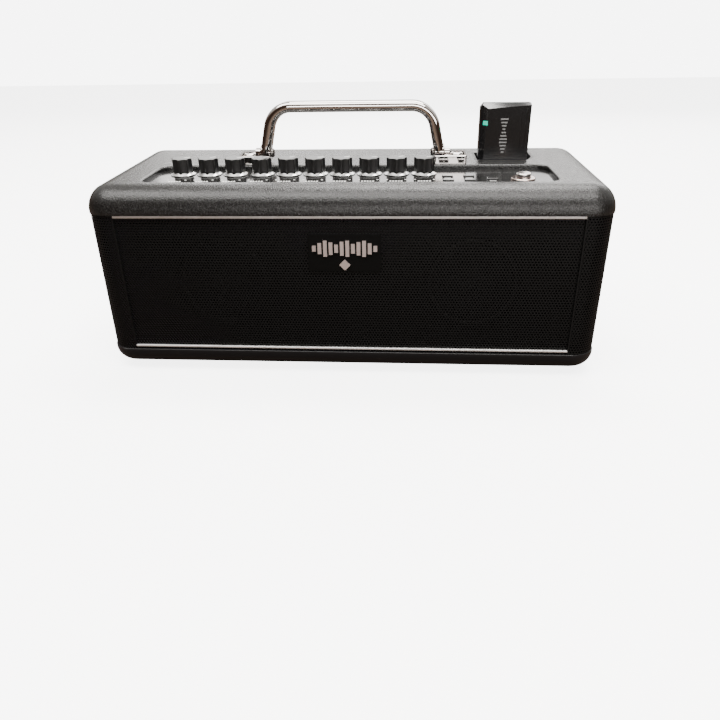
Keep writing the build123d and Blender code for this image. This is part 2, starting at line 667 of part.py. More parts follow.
def make_battery():
    half = CELL_LENGTH / 2
    holder = block((DOOR_X[0] + 0.4, DOOR_X[1] - 0.4), (BACK - 42, BACK - 6.6), (22.0, 59.0))
    for x, y, z in cell_places():
        holder -= rod_across((x - half - 0.4, x + half + 0.4), y, z, CELL_RADIUS + 0.3)
    holder -= block((DOOR_X[0] + 1.4, DOOR_X[1] - 1.4), (BACK - 32.2, BACK), (32.6, 48.6))
    holder -= block((DOOR_X[0] + 1.4, DOOR_X[1] - 1.4), (BACK - 16.2, BACK), (25.4, 55.8))
    cells = []
    for x, y, z in cell_places():
        cell = rod_across((x - half, x + half - 1.2), y, z, CELL_RADIUS)
        cells.append(cell + rod_across((x + half - 1.2, x + half), y, z, 2.7))
    return holder, cells


def make_door():
    """The battery cover: a plate on a barrel at its lower edge, with ribs that stiffen it."""
    outer = REAR_FACE
    low = DOOR_Z[0]
    plate = block(DOOR_X, (outer - DOOR_THICK, outer), (low, DOOR_Z[1]))
    barrel = rod_across(DOOR_X, DOOR_PIN_Y, low, DOOR_BARREL)
    door = plate + barrel
    for number in range(5):
        z = low + 13 + 4.5 * number
        door -= block((DOOR_X[1] - 40, DOOR_X[1] - 14), (outer - 0.6, outer + 1), (z, z + 1.6))
    return door - rod_across((DOOR_X[0] - 1, DOOR_X[1] + 1), DOOR_PIN_Y, low, DOOR_PIN + RUNNING_FIT)


def make_door_pin():
    return rod_across((DOOR_X[0] - 4, DOOR_X[1] + 4), DOOR_PIN_Y, DOOR_Z[0], DOOR_PIN)


# ---------------------------------------------------------------- assembly
keep("top_cover", make_top_cover())
keep("base_cover", make_base_cover())
keep("rear_cover", make_rear_cover())
keep("front_grille", make_grille())
strips = make_trim_strips()
keep("trim_strip_top", strips[0])
keep("trim_strip_bottom", strips[1])
plaque, emblem = make_badge()
keep("badge_plaque", plaque)
keep("badge_emblem", *emblem)
keep("rubber_feet", *make_feet())
keep("case_screws", *make_case_screws())

keep("control_panel", make_control_panel())
collars, rings = make_knob_seats()
keep("knob_collars", *collars)
keep("knob_rings", *rings)
keep("potentiometers", *make_potentiometers())
keep("key_switches", *make_switches())
keep("control_board", make_control_board())
keep("power_ring", make_power_ring())
keep("power_button", make_power_button())
for number, place in enumerate(BUTTON_PLACES):
    keep(f"panel_button_{number + 1}", make_button(*place))
for name, x in knob_places():
    keep(f"{name}_knob", make_knob(x))

keep("handle_bar", make_handle())
keep("handle_brackets", make_bracket(-1), make_bracket(1))
keep("handle_pins", make_pivot_pin(-1), make_pivot_pin(1))
keep("handle_screws", *make_handle_screws())

keep("transmitter_case", make_sender() - lamp_block(0))
keep("transmitter_lamp", lamp_block(0) & make_sender())
keep("transmitter_plug", make_plug())
keep("dock_well", make_dock_well())
keep("dock_jack", make_dock_jack())

frames, cones, magnets, gaskets = make_speaker_parts()
keep("speaker_baffle", make_baffle())
keep("speaker_cabinet", make_cabinet())
keep("speaker_frames", *frames)
keep("speaker_cones", *cones)
keep("speaker_magnets", *magnets)
keep("speaker_surrounds", *gaskets)
keep("speaker_screws", *make_speaker_screws())

keep("guitar_jack", make_jack(GUITAR_JACK_X, GUITAR_BORE, 7.0, GUITAR_BUSH, JACK_LENGTH))
keep("phones_jack", make_jack(MINI_JACK_X[0], MINI_BORE, 4.0, MINI_BUSH, MINI_LENGTH))
keep("aux_jack", make_jack(MINI_JACK_X[1], MINI_BORE, 4.0, MINI_BUSH, MINI_LENGTH))
keep("jack_nuts", *make_jack_nuts())
keep("usb_socket", make_usb())
keep("power_inlet", make_inlet())
keep("main_board", make_main_board())
holder, cells = make_battery()
keep("battery_holder", holder)
keep("battery_cells", *cells)
keep("battery_door", make_door())
keep("door_pin", make_door_pin())

os.makedirs("parts", exist_ok=True)
for name, solids in pieces.items():
    shape = solids[0] if len(solids) == 1 else Compound(children=solids)
    export_step(shape, f"parts/{name}.step")
print(len(pieces), "pieces written")
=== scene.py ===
import json
from math import cos, pi, radians, sin, sqrt

import bpy
from mathutils import Matrix, Vector


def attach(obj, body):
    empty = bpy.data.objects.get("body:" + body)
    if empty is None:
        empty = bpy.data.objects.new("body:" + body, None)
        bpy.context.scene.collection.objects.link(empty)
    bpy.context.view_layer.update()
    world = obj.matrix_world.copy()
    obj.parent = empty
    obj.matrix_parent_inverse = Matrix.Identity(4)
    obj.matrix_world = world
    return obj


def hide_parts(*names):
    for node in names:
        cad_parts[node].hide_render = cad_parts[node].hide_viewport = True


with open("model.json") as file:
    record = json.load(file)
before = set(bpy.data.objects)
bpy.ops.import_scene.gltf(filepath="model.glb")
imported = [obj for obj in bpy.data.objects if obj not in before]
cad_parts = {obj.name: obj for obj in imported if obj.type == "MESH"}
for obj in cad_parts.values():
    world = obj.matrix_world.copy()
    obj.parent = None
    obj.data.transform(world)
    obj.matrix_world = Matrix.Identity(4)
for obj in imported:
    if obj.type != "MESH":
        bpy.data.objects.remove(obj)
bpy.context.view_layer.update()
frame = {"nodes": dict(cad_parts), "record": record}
nodes_of = frame["nodes"]
MM = 0.001

# ---------------------------------------------------------------- places that the pieces share
SLOPE = radians(2.65)
DECK = Matrix.Translation((0, 0, 0.1372676)) @ Matrix.Rotation(SLOPE, 4, "X")
PANEL = -3.2
CAP_TOP = PANEL + 11.7
MARK_ROW = (-40.8, -38.6)
KNOBS = ("amp_type", "gain", "volume", "bass", "middle", "treble", "boost", "effect", "reverb", "master")
KNOB_ROW = -18.5
KNOB_TURNS = (-62, -48, -70, -55, -40, -75, -58, -66, -50, -72)
KEYS = ((69.1, -27.3), (83.8, -27.3), (69.1, -39.2), (83.8, -39.2), (99.2, -35.3))
HOLE_PITCH = 2.1
HOLE_WEB = 0.36
SHEET = 1.2
SOCKETS = (132.0, 104.0, 82.0, 60.0, 38.0)
REAR = 70.0
SENDER_MIDDLE = 111.2
SENDER_FACE = 13.0
GRILLE_LOW, GRILLE_HIGH = 17.6, 116.0
GRILLE_HALF = 157.0
GRILLE_FACE = -69.8
SIDE_HALF, SIDE_FACE, SIDE_TURN, SIDE_END = 176.9, -71.4, 17.4, 44.0


def knob_x(number):
    return -121.1 + 19.34 * number


# ---------------------------------------------------------------- camera
def set_camera():
    """Seen from a little left of the middle and above, looking down on the front edge."""
    yaw, pitch, roll = -0.0731, 0.4669, -0.0169
    forward = Vector((sin(yaw) * cos(pitch), cos(yaw) * cos(pitch), -sin(pitch)))
    level = Vector((cos(yaw), -sin(yaw), 0))
    upright = level.cross(forward)
    right = level * cos(roll) + upright * sin(roll)
    top = upright * cos(roll) - level * sin(roll)
    lens = bpy.data.cameras.new("camera")
    lens.sensor_width = 36.0
    lens.lens = 31.258
    lens.clip_start = 0.01
    camera = bpy.data.objects.new("camera", lens)
    bpy.context.scene.collection.objects.link(camera)
    turn = Matrix((right, top, -forward)).transposed().to_4x4()
    camera.matrix_world = Matrix.Translation((0.03878, -0.47653, 0.21571)) @ turn
    bpy.context.scene.camera = camera


# ---------------------------------------------------------------- light and floor
def add_lamp(name, spot, aim, size, power, colour):
    light = bpy.data.lights.new(name, "AREA")
    light.shape = "RECTANGLE"
    light.size, light.size_y = size
    light.energy = power
    light.color = colour
    lamp = bpy.data.objects.new(name, light)
    bpy.context.scene.collection.objects.link(lamp)
    lamp.location = spot
    lamp.rotation_euler = (Vector(aim) - Vector(spot)).to_track_quat("-Z", "Y").to_euler()


def set_light():
    """A bright room overhead, warm brown at eye level, that the camera sees as a plain pale backdrop."""
    world = bpy.data.worlds.new("studio")
    bpy.context.scene.world = world
    world.use_nodes = True
    tree = world.node_tree
    back = tree.nodes["Background"]
    height = tree.nodes.new("ShaderNodeVectorMath")
    height.operation = "DOT_PRODUCT"
    height.inputs[1].default_value = (0.08, 0.35, 1.0)
    tree.links.new(tree.nodes.new("ShaderNodeTexCoord").outputs["Generated"], height.inputs[0])
    shades = tree.nodes.new("ShaderNodeValToRGB")
    dark, light = shades.color_ramp.elements
    dark.position, dark.color = 0.02, (0.05, 0.03, 0.022, 1)
    light.position, light.color = 0.80, (1.0, 0.97, 0.93, 1)
    for place, colour in ((0.22, (0.15, 0.095, 0.07, 1)), (0.48, (0.66, 0.64, 0.61, 1))):
        shades.color_ramp.elements.new(place).color = colour
    tree.links.new(height.outputs["Value"], shades.inputs["Fac"])
    pick = tree.nodes.new("ShaderNodeMix")
    pick.data_type = "RGBA"
    tree.links.new(tree.nodes.new("ShaderNodeLightPath").outputs["Is Camera Ray"], pick.inputs["Factor"])
    tree.links.new(shades.outputs["Color"], pick.inputs["A"])
    pick.inputs["B"].default_value = (7.0, 7.0, 7.0, 1)
    tree.links.new(pick.outputs["Result"], back.inputs["Color"])
    back.inputs["Strength"].default_value = 1.0
    add_lamp("overhead softbox", (-0.10, -0.47, 1.30), (0, -0.07, 0.13), (1.8, 0.60), 38, (1.0, 0.98, 0.95))
    add_lamp("rear softbox", (0.2, 1.5, 0.95), (0, 0, 0.12), (2.2, 0.8), 30, (1.0, 0.98, 0.96))
    add_lamp("back strip", (0.15, 0.42, 1.28), (0, 0, 0.15), (0.9, 0.35), 24, (1.0, 0.98, 0.95))
    add_lamp("front strip", (0.35, -1.2, 0.35), (0, 0, 0.06), (1.4, 0.20), 10, (1.0, 0.97, 0.94))


def floor_finish():
    """Pale to the camera; the object sees a darker floor, as if it stood on something dark."""
    material = finish("pale floor", (0.9, 0.9, 0.9), 0.85, specular=0.0)
    tree = material.node_tree
    shader = tree.nodes["Principled BSDF"]
    seen = tree.nodes.new("ShaderNodeLightPath").outputs["Is Camera Ray"]
    pick = tree.nodes.new("ShaderNodeMix")
    pick.data_type = "RGBA"
    tree.links.new(seen, pick.inputs["Factor"])
    pick.inputs["A"].default_value = (0.10, 0.075, 0.06, 1)
    pick.inputs["B"].default_value = (0.92, 0.92, 0.92, 1)
    tree.links.new(pick.outputs["Result"], shader.inputs["Base Color"])
    tree.links.new(seen, shader.inputs["Emission Strength"])
    shader.inputs["Emission Color"].default_value = (4.6, 4.6, 4.6, 1)
    return material


def set_floor():
    clear_selection()
    bpy.ops.mesh.primitive_plane_add(size=8, location=(0, 0, 0))
    floor = bpy.context.object
    floor.name = "floor"
    floor.data.materials.append(floor_finish())


# ---------------------------------------------------------------- effects that materials share
PLACE = ("Vector", "NodeSocketVector", None)
TINT = ("Colour", "NodeSocketColor", None)


def new_group(name, inputs, outputs):
    """An empty node group with the named inputs, each with its start value, and outputs."""
    group = bpy.data.node_groups.new(name, "ShaderNodeTree")
    for label, kind, value in inputs:
        socket = group.interface.new_socket(label, in_out="INPUT", socket_type=kind)
        if value is not None:
            socket.default_value = value
    for label, kind in outputs:
        group.interface.new_socket(label, in_out="OUTPUT", socket_type=kind)
    start = group.nodes.new("NodeGroupInput")
    end = group.nodes.new("NodeGroupOutput")
    return group, start.outputs, end.inputs


def maths(group, kind, first, second):
    """A Math node, fed by sockets or plain numbers; gives its output socket."""
    node = group.nodes.new("ShaderNodeMath")
    node.operation = kind
    for socket, value in zip(node.inputs, (first, second)):
        if isinstance(value, (int, float)):
            socket.default_value = value
        elif value is not None:
            group.links.new(value, socket)
    return node.outputs[0]


def noise(group, vector, scale, detail=3.0, rough=0.5):
    node = group.nodes.new("ShaderNodeTexNoise")
    node.inputs["Detail"].default_value = detail
    node.inputs["Roughness"].default_value = rough
    group.links.new(vector, node.inputs["Vector"])
    if isinstance(scale, (int, float)):
        node.inputs["Scale"].default_value = scale
    else:
        group.links.new(scale, node.inputs["Scale"])
    return node.outputs["Fac"]


def pebble_group():
    """Moulded pebble grain: close round bumps of uneven height."""
    group, given, result = new_group(
        "pebble grain", [PLACE, ("Scale", "NodeSocketFloat", 700.0)], [("Height", "NodeSocketFloat")])
    cells = group.nodes.new("ShaderNodeTexVoronoi")
    cells.feature = "SMOOTH_F1"
    cells.inputs["Smoothness"].default_value = 0.6
    group.links.new(given["Vector"], cells.inputs["Vector"])
    group.links.new(given["Scale"], cells.inputs["Scale"])
    bumps = maths(group, "SUBTRACT", 1.0, cells.outputs["Distance"])
    coarser = maths(group, "MULTIPLY", given["Scale"], 0.55)
    uneven = maths(group, "MULTIPLY", noise(group, given["Vector"], coarser, 2.0), 0.9)
    group.links.new(maths(group, "ADD", bumps, uneven), result["Height"])
    return group


def tone_group():
    """Uneven colour: the base colour a little lighter and darker over the surface."""
    group, given, result = new_group(
        "uneven tone", [PLACE, TINT, ("Spread", "NodeSocketFloat", 0.1), ("Scale", "NodeSocketFloat", 30.0)],
        [("Colour", "NodeSocketColor")])
    shift = maths(group, "SUBTRACT", noise(group, given["Vector"], given["Scale"], 4.0), 0.5)
    swing = maths(group, "MULTIPLY", maths(group, "MULTIPLY", shift, given["Spread"]), 2.0)
    gain = maths(group, "ADD", swing, 1.0)
    scale = group.nodes.new("ShaderNodeVectorMath")
    scale.operation = "SCALE"
    group.links.new(given["Colour"], scale.inputs[0])
    group.links.new(gain, scale.inputs["Scale"])
    group.links.new(scale.outputs["Vector"], result["Colour"])
    return group


def smudge_group():
    """Uneven gloss: soft patches where hands and cloths have been."""
    group, given, result = new_group(
        "hand smudges", [PLACE, ("Roughness", "NodeSocketFloat", 0.4), ("Spread", "NodeSocketFloat", 0.1),
                         ("Scale", "NodeSocketFloat", 22.0)], [("Roughness", "NodeSocketFloat")])
    patch = maths(group, "SUBTRACT", noise(group, given["Vector"], given["Scale"], 5.0, 0.6), 0.5)
    spread = maths(group, "MULTIPLY", maths(group, "MULTIPLY", patch, given["Spread"]), 2.0)
    total = maths(group, "ADD", given["Roughness"], spread)
    group.links.new(maths(group, "MAXIMUM", total, 0.02), result["Roughness"])
    return group


def dust_group():
    """A thin film of dust that lies on faces that look up, in patches."""
    group, given, result = new_group(
        "settled dust", [PLACE, TINT, ("Amount", "NodeSocketFloat", 0.1)], [("Colour", "NodeSocketColor")])
    facing = group.nodes.new("ShaderNodeNewGeometry")
    split = group.nodes.new("ShaderNodeSeparateXYZ")
    group.links.new(facing.outputs["Normal"], split.inputs[0])
    up = maths(group, "MAXIMUM", split.outputs["Z"], 0.0)
    specks = maths(group, "GREATER_THAN", noise(group, given["Vector"], 1500.0, 1.0), 0.66)
    haze = maths(group, "MULTIPLY", noise(group, given["Vector"], 60.0, 4.0), 0.5)
    film = maths(group, "ADD", haze, maths(group, "MULTIPLY", specks, 0.9))
    share = maths(group, "MULTIPLY", maths(group, "MULTIPLY", up, film), given["Amount"])
    mix = group.nodes.new("ShaderNodeMix")
    mix.data_type = "RGBA"
    group.links.new(share, mix.inputs["Factor"])
    group.links.new(given["Colour"], mix.inputs["A"])
    mix.inputs["B"].default_value = (0.42, 0.40, 0.37, 1)
    group.links.new(mix.outputs["Result"], result["Colour"])
    return group


def brushed_group():
    """Fine lines along one direction, from polishing or drawing."""
    group, given, result = new_group(
        "brushed lines", [PLACE, ("Stretch", "NodeSocketVector", (1, 1, 1))], [("Height", "NodeSocketFloat")])
    pull = group.nodes.new("ShaderNodeVectorMath")
    pull.operation = "MULTIPLY"
    group.links.new(given["Vector"], pull.inputs[0])
    group.links.new(given["Stretch"], pull.inputs[1])
    group.links.new(noise(group, pull.outputs["Vector"], 1.0, 3.0, 0.7), result["Height"])
    return group


GROUPS = {}


def place_group(tree, name, **values):
    """Puts a shared effect in a material and sets its inputs from values or sockets."""
    node = tree.nodes.new("ShaderNodeGroup")
    node.node_tree = GROUPS[name]
    for label, value in values.items():
        socket = node.inputs[label]
        if isinstance(value, bpy.types.NodeSocket):
            tree.links.new(value, socket)
        else:
            socket.default_value = value
    return node.outputs


# ---------------------------------------------------------------- materials
def finish(name, colour, rough, metal=0.0, coat=0.0, pebble=None, dust=0.0, tone=0.08, smudge=0.0, lines=None,
           specular=0.5, glow=0.0, painted_glints=None):
    """A finish on one Principled shader, with uneven tone, gloss patches, grain or brushed lines, and painted
    glints where asked: fine light and dark flecks in the base colour.
    """
    material = bpy.data.materials.new(name)
    material.use_nodes = True
    tree = material.node_tree
    shader = tree.nodes["Principled BSDF"]
    shader.inputs["Roughness"].default_value = rough
    shader.inputs["Metallic"].default_value = metal
    shader.inputs["Coat Weight"].default_value = coat
    shader.inputs["Coat Roughness"].default_value = 0.06
    shader.inputs["Specular IOR Level"].default_value = specular
    where = tree.nodes.new("ShaderNodeTexCoord").outputs["Object"]
    plain = (*colour, 1)
    shade = place_group(tree, "uneven tone", Vector=where, Colour=plain, Spread=tone, Scale=35.0)["Colour"]
    # Painted glints: a second, fine and strong pass of uneven tone flecks the base colour light and dark, in
    # place of light catching the grain.
    if painted_glints:
        scale, spread = painted_glints
        painted_glint_tone = place_group(tree, "uneven tone", Vector=where, Colour=shade, Spread=spread, Scale=scale)
        shade = painted_glint_tone["Colour"]
    if dust:
        shade = place_group(tree, "settled dust", Vector=where, Colour=shade, Amount=dust)["Colour"]
    tree.links.new(shade, shader.inputs["Base Color"])
    if smudge:
        gloss = place_group(tree, "hand smudges", Vector=where, Roughness=rough, Spread=smudge, Scale=22.0)
        tree.links.new(gloss["Roughness"], shader.inputs["Roughness"])
    height, depth = None, 0.0
    if pebble:
        size, depth = pebble
        height = place_group(tree, "pebble grain", Vector=where, Scale=size)["Height"]
    elif lines:
        stretch, depth = lines
        height = place_group(tree, "brushed lines", Vector=where, Stretch=stretch)["Height"]
    if height is not None:
        bump = tree.nodes.new("ShaderNodeBump")
        bump.inputs["Strength"].default_value = 1.0
        bump.inputs["Distance"].default_value = depth
        tree.links.new(height, bump.inputs["Height"])
        tree.links.new(bump.outputs["Normal"], shader.inputs["Normal"])
    if glow:
        shader.inputs["Emission Color"].default_value = (*colour, 1)
        shader.inputs["Emission Strength"].default_value = glow
    return material


def make_shell_finishes():
    """The covers, the perforated sheet and what stands on them."""
    return {
        # The cover's base colour carries painted glints: fine light and dark flecks that stand in for light
        # catching its grain.
        "cover_plastic": finish(
            "textured charcoal plastic", (0.009, 0.0088, 0.0086), 0.25, pebble=(1500.0, 0.00013),
            dust=0.035, smudge=0.04, painted_glints=(1000.0, 2.2), specular=0.42),
        "base_plastic": finish(
            "satin black plastic", (0.006, 0.006, 0.007), 0.30, pebble=(1400.0, 0.00004), dust=0.04,
            smudge=0.05, specular=0.35),
        "rear_plastic": finish(
            "fine textured black plastic", (0.016, 0.016, 0.017), 0.45, pebble=(1300.0, 0.00008),
            smudge=0.05),
        "door_plastic": finish(
            "battery cover plastic", (0.016, 0.016, 0.017), 0.45, pebble=(1300.0, 0.00008)),
        "grille_steel": finish(
            "black painted perforated steel", (0.004, 0.004, 0.0042), 0.45, pebble=(1500.0, 0.00002),
            smudge=0.05, specular=0.2),
        # trim_dark and trim_bright are one trim metal in two copies: painted shade makes trim_dark darker,
        # and painted light makes trim_bright lighter.
        "trim_dark": finish(
            "trim metal with painted shade", (0.62, 0.60, 0.59), 0.42, metal=1.0, lines=((40, 4000, 4000), 0.00001),
            smudge=0.06),
        "trim_bright": finish(
            "trim metal with painted light", (0.95, 0.94, 0.93), 0.50, metal=1.0, lines=((40, 4000, 4000), 0.00001),
            smudge=0.04),
        "plaque_black": finish(
            "black plaque paint", (0.003, 0.003, 0.003), 0.45, pebble=(1600.0, 0.00002), specular=0.08),
        "emblem_silver": finish("silver emblem", (0.74, 0.66, 0.65), 0.40, metal=1.0, smudge=0.06),
        "foot_rubber": finish("black foot rubber", (0.014, 0.014, 0.014), 0.75, pebble=(1200.0, 0.00006)),
        "screw_steel": finish("blackened screw steel", (0.09, 0.09, 0.095), 0.38, metal=1.0, smudge=0.1),
    }


def make_control_finishes():
    """The control panel, its knobs and keys, and what is under it."""
    return {
        "panel_gloss": finish(
            "gloss black panel", (0.008, 0.008, 0.008), 0.14, dust=0.03, smudge=0.04,
            specular=0.25),
        "knob_plastic": finish(
            "black knob plastic", (0.010, 0.010, 0.010), 0.34, pebble=(2200.0, 0.00002), dust=0.05),
        "collar_plastic": finish("gloss black collar", (0.008, 0.008, 0.008), 0.15, coat=0.3),
        "ring_metal": finish("silver knob ring", (0.78, 0.78, 0.77), 0.28, metal=1.0, smudge=0.06),
        "key_plastic": finish("black key plastic", (0.012, 0.012, 0.012), 0.25, dust=0.05, smudge=0.05),
        "bezel_metal": finish("rose bronze bezel", (0.56, 0.46, 0.42), 0.22, metal=1.0, smudge=0.05),
        "power_metal": finish("silver power key", (0.72, 0.68, 0.66), 0.24, metal=1.0, smudge=0.05),
        "pot_metal": finish("plated control metal", (0.50, 0.50, 0.48), 0.35, metal=1.0, smudge=0.1),
        "switch_plastic": finish("black switch plastic", (0.02, 0.02, 0.02), 0.5, pebble=(900.0, 0.00003)),
        "board": finish("green circuit board", (0.01, 0.11, 0.035), 0.35, lines=((900, 900, 30), 0.00002)),
    }


def make_handle_finishes():
    """The handle, and the transmitter in its dock."""
    return {
        "chrome": finish("polished chrome", (0.62, 0.59, 0.57), 0.045, metal=1.0, smudge=0.04, tone=0.02),
        "pin_steel": finish("dark plated pin steel", (0.20, 0.19, 0.18), 0.25, metal=1.0, smudge=0.08),
        "sender_plastic": finish(
            "satin black transmitter plastic", (0.006, 0.006, 0.0065), 0.16, pebble=(2600.0, 0.00001),
            smudge=0.03),
        "lamp_lens": finish("lit green lens", (0.0, 0.50, 0.34), 0.2, glow=0.7),
        "plug_metal": finish("nickel plated plug", (0.72, 0.70, 0.66), 0.2, metal=1.0, smudge=0.05),
        "well_plastic": finish("black dock plastic", (0.008, 0.008, 0.008), 0.5, pebble=(1200.0, 0.00003)),
    }


def make_inner_finishes():
    """The speakers behind the sheet, the sockets on the back and the battery cells."""
    return {
        "baffle_wood": finish(
            "black painted board", (0.006, 0.006, 0.006), 0.8, lines=((20, 500, 500), 0.00005)),
        "cabinet_plastic": finish(
            "black cabinet plastic", (0.010, 0.010, 0.010), 0.6, pebble=(900.0, 0.00006)),
        "frame_steel": finish("black pressed steel", (0.012, 0.012, 0.013), 0.5, metal=0.3, smudge=0.08),
        "cone_paper": finish(
            "black paper cone", (0.012, 0.012, 0.013), 0.85, lines=((300, 300, 300), 0.0002)),
        "magnet": finish("grey ferrite", (0.05, 0.05, 0.052), 0.6, pebble=(800.0, 0.00006)),
        "surround_rubber": finish(
            "soft surround rubber", (0.010, 0.010, 0.010), 0.6, pebble=(1400.0, 0.00002)),
        "jack_plastic": finish(
            "black socket plastic", (0.012, 0.012, 0.012), 0.42, pebble=(1500.0, 0.00002)),
        "usb_steel": finish("plated socket steel", (0.60, 0.60, 0.60), 0.28, metal=1.0, smudge=0.08),
        "nut_steel": finish("plated nut steel", (0.66, 0.65, 0.63), 0.2, metal=1.0, smudge=0.08),
        "cell_wrap": finish("plain cell sleeve", (0.04, 0.12, 0.20), 0.3, metal=0.4),
    }


def make_finishes():
    """Every finish, under the record's material slot that it belongs to."""
    finishes = make_shell_finishes()
    finishes.update(make_control_finishes())
    finishes.update(make_handle_finishes())
    finishes.update(make_inner_finishes())
    return finishes


def dress_nodes(finishes):
    """Gives each CAD node the finish of its slot."""
    for part in frame["record"]["subparts"]:
        piece = nodes_of[part["node"]]
        if not piece.material_slots:
            piece.data.materials.append(None)
        for place in piece.material_slots:
            place.material = finishes[part["material_slot"]]


# ---------------------------------------------------------------- making pieces
def clear_selection():
    if bpy.context.object and bpy.context.object.mode != "OBJECT":
        bpy.ops.object.mode_set(mode="OBJECT")
    bpy.ops.object.select_all(action="DESELECT")


def edit_all():
    """Opens the active piece for editing with everything selected."""
    bpy.ops.object.mode_set(mode="EDIT")
    bpy.ops.mesh.select_all(action="SELECT")


def settle(matrix=None):
    """Moves the active piece by a matrix, then works its place into its mesh."""
    piece = bpy.context.object
    if matrix is not None:
        piece.matrix_world = matrix @ piece.matrix_world
    bpy.ops.object.transform_apply(location=True, rotation=True, scale=True)
    return piece


def apply_all(piece):
    for modifier in list(piece.modifiers):
        bpy.ops.object.modifier_apply(modifier=modifier.name)


def soft_bar(x, y, z, round_off, steps=2):
    """A block in millimetres between three pairs of limits, with its edges rounded."""
    clear_selection()
    middle = [(low + high) / 2 * MM for low, high in (x, y, z)]
    size = [(high - low) * MM for low, high in (x, y, z)]
    bpy.ops.mesh.primitive_cube_add(size=1, location=middle, scale=size)
    piece = settle()
    edit_all()
    bpy.ops.mesh.bevel(offset=round_off * MM, segments=steps, affect="EDGES")
    bpy.ops.object.mode_set(mode="OBJECT")
    return piece


def soft_disc(spot, radius, height, round_off, sides):
    """A round plate in millimetres with its rims rounded."""
    clear_selection()
    bpy.ops.mesh.primitive_cylinder_add(vertices=sides, radius=radius * MM, depth=height * MM,
                                        location=[value * MM for value in spot])
    piece = settle()
    edit_all()
    bpy.ops.mesh.bevel(offset=round_off * MM, segments=2, affect="EDGES")
    bpy.ops.object.mode_set(mode="OBJECT")
    return piece


def join(parts):
    clear_selection()
    for part in parts:
        part.select_set(True)
    bpy.context.view_layer.objects.active = parts[0]
    bpy.ops.object.join()
    return parts[0]


def hand_over(piece, name, material, body="amplifier", smooth=True):
    """Names a finished piece, gives it its finish and ties it to the body that it moves with."""
    piece.name = name
    piece.data.name = name
    piece.data.materials.clear()
    piece.data.materials.append(material)
    clear_selection()
    piece.select_set(True)
    bpy.context.view_layer.objects.active = piece
    if smooth:
        bpy.ops.object.shade_smooth_by_angle(angle=radians(40))
    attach(piece, body)
    return piece


# ---------------------------------------------------------------- perforated sheet
def punched_sheet(x, z):
    """A flat sheet facing -Y with six-sided holes in staggered rows, cut to the limits x and z."""
    clear_selection()
    corner = HOLE_PITCH / sqrt(3)
    bpy.ops.mesh.primitive_circle_add(vertices=6, radius=corner * MM, fill_type="NGON",
                                      location=(x[0] * MM, 0, z[0] * MM), rotation=(pi / 2, 0, 0))
    sheet = settle()
    edit_all()
    bpy.ops.mesh.inset(thickness=HOLE_WEB * MM)
    bpy.ops.mesh.delete(type="FACE")
    bpy.ops.object.mode_set(mode="OBJECT")
    columns = int((x[1] - x[0]) / HOLE_PITCH) + 2
    rows = int((z[1] - z[0]) / (3 * corner)) + 2
    repeats = ((2, (HOLE_PITCH / 2, 0, 1.5 * corner)), (columns, (HOLE_PITCH, 0, 0)),
               (rows, (0, 0, 3 * corner)))
    for count, step in repeats:
        repeat = sheet.modifiers.new("repeat", "ARRAY")
        repeat.use_relative_offset = False
        repeat.use_constant_offset = True
        repeat.count = count
        repeat.constant_offset_displace = [value * MM for value in step]
    apply_all(sheet)
    edit_all()
    bpy.ops.mesh.remove_doubles(threshold=0.00002)
    edges = (((x[0], 0, 0), (-1, 0, 0)), ((x[1], 0, 0), (1, 0, 0)),
             ((0, 0, z[0]), (0, 0, -1)), ((0, 0, z[1]), (0, 0, 1)))
    for spot, normal in edges:
        bpy.ops.mesh.select_all(action="SELECT")
        bpy.ops.mesh.bisect(plane_co=[value * MM for value in spot], plane_no=normal, clear_outer=True)
    bpy.ops.object.mode_set(mode="OBJECT")
    return sheet


def thicken(sheet):
    """Gives the sheet its thickness, away from the side that its faces look to."""
    wall = sheet.modifiers.new("thickness", "SOLIDIFY")
    wall.thickness = SHEET * MM
    wall.offset = -1
    clear_selection()
    sheet.select_set(True)
    bpy.context.view_layer.objects.active = sheet
    apply_all(sheet)


def side_path():
    """The line that the sheet follows round a front corner and along the side."""
    line = bpy.data.curves.new("side path", "CURVE")
    line.dimensions = "3D"
    line.twist_mode = "Z_UP"
    spline = line.splines.new("BEZIER")
    spline.resolution_u = 32
    spline.bezier_points.add(3)
    start, bend, turn, end = spline.bezier_points
    reach = 0.5523 * SIDE_TURN
    spots = ((start, (GRILLE_HALF, SIDE_FACE), (-1, 0, 0.8, 0)),
             (bend, (SIDE_HALF - SIDE_TURN, SIDE_FACE), (-0.8, 0, reach, 0)),
             (turn, (SIDE_HALF, SIDE_FACE + SIDE_TURN), (0, -reach, 0, 32.0)),
             (end, (SIDE_HALF, SIDE_END), (0, -32.0, 0, 1)))
    for point, (x, y), (back_x, back_y, on_x, on_y) in spots:
        point.co = (x * MM, y * MM, 0)
        point.handle_left_type = point.handle_right_type = "FREE"
        point.handle_left = ((x + back_x) * MM, (y + back_y) * MM, 0)
        point.handle_right = ((x + on_x) * MM, (y + on_y) * MM, 0)
    path = bpy.data.objects.new("side path", line)
    bpy.context.scene.collection.objects.link(path)
    return path


